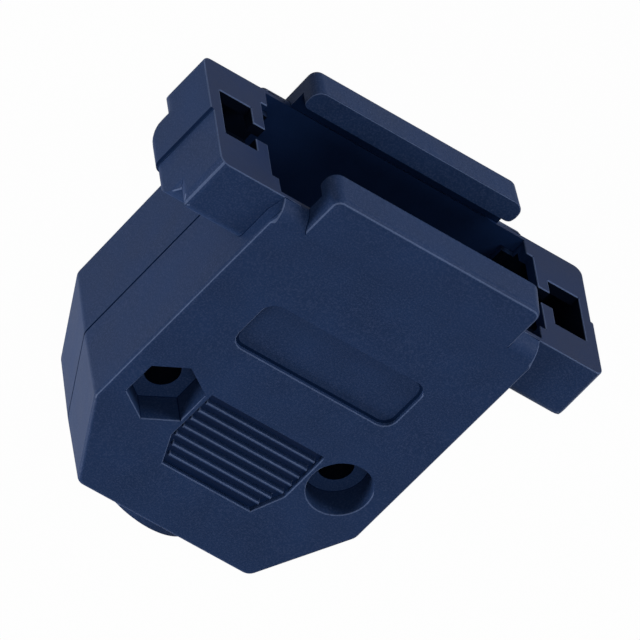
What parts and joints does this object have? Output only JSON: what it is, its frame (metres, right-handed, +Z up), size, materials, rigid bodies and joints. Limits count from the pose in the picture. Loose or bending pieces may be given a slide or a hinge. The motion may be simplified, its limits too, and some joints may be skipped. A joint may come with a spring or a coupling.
{
  "type": "d-sub hood",
  "caption": "Two-piece moulded plastic hood for a D-subminiature connector, with flange lips, jackscrew ears, nut and screw pockets, ribbed grip and round cable outlet.",
  "frame": {"origin": "centre of the hood's box on the surface it rests on, the big face of the lower shell down", "axes": "+X across the two jackscrew ears, +Y out of the mating face, +Z up out of the upper shell's big face"},
  "size_m": [0.0388, 0.0362, 0.0162],
  "materials": {
    "shell_plastic": "fine spark-eroded texture, dark navy blue",
    "clamp_steel": "zinc-plated sheet",
    "screw_steel": "zinc-plated"
  },
  "bodies": {
    "root": {"upper_shell": "shell_plastic", "lower_shell": "shell_plastic", "upper_clamp": "clamp_steel", "lower_clamp": "clamp_steel", "clamp_screws": "screw_steel"}
  },
  "joints": []
}
